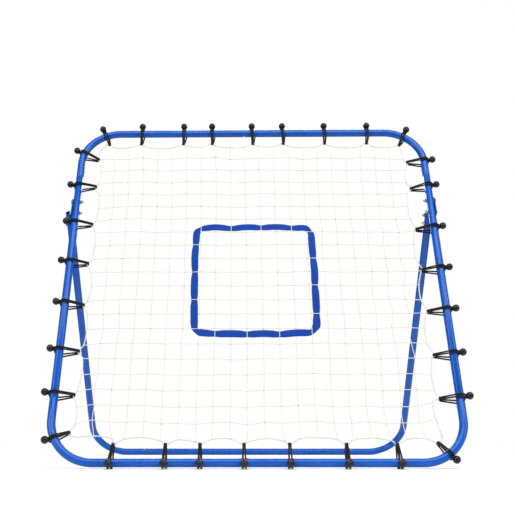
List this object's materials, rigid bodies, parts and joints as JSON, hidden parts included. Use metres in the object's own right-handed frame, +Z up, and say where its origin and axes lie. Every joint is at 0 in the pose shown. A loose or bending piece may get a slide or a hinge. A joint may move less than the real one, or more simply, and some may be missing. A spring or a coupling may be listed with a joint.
{
  "type": "pitch back rebounder",
  "caption": "Leaning square tube frame on a folding tube stand, with a bungee-hung knotted net and a woven target square that throws a ball back.",
  "frame": {"origin": "on the ground, at the middle of the object's footprint box", "axes": "+Z up, +X to the thrower's right across the net, -Y towards the thrower"},
  "size_m": [1.2796, 1.0524, 1.1796],
  "materials": {
    "blue_powder_coat": "semi-gloss powder coat on round steel tube",
    "blue_plate_steel": "semi-gloss powder coat on flat steel plate",
    "zinc_plated_steel": "zinc plated, slightly warm",
    "black_ball_plastic": "moulded, semi-gloss",
    "black_elastic_cord": "braided cover over a rubber core",
    "white_net_cord": "twisted cord, knotted",
    "white_edge_cord": "twisted cord, doubled along the net's edge",
    "blue_webbing": "woven flat webbing"
  },
  "bodies": {
    "rebound_frame": {"bungee_balls_bottom": "black_ball_plastic", "bungee_balls_left": "black_ball_plastic", "bungee_balls_right": "black_ball_plastic", "bungee_balls_top": "black_ball_plastic", "bungee_loops_bottom": "black_elastic_cord", "bungee_loops_left": "black_elastic_cord", "bungee_loops_right": "black_elastic_cord", "bungee_loops_top": "black_elastic_cord", "corner_bottom_left": "blue_powder_coat", "corner_bottom_right": "blue_powder_coat", "corner_top_left": "blue_powder_coat", "corner_top_right": "blue_powder_coat", "frame_joint_screws": "zinc_plated_steel", "hinge_plate_left": "blue_plate_steel", "hinge_plate_right": "blue_plate_steel", "net_edge_cord": "white_edge_cord", "net_mesh": "white_net_cord", "pivot_bolt_left": "zinc_plated_steel", "pivot_bolt_right": "zinc_plated_steel", "pivot_nut_left": "zinc_plated_steel", "pivot_nut_right": "zinc_plated_steel", "plate_bolts": "zinc_plated_steel", "plate_nuts": "zinc_plated_steel", "target_webbing": "blue_webbing", "upright_left": "blue_powder_coat", "upright_right": "blue_powder_coat"},
    "folding_stand": {"leg_left": "blue_powder_coat", "leg_right": "blue_powder_coat", "lock_bolt_left": "zinc_plated_steel", "lock_bolt_right": "zinc_plated_steel", "lock_nut_left": "zinc_plated_steel", "lock_nut_right": "zinc_plated_steel", "rear_bar": "blue_powder_coat", "stand_joint_screws": "zinc_plated_steel"}
  },
  "joints": [
    {"name": "stand_fold", "type": "hinge", "parent": "rebound_frame", "child": "folding_stand", "pos_m": [0.00277, -0.1518, 0.81877], "axis": [1, 0, 0], "range_deg": [-59.54, 0]}
  ]
}
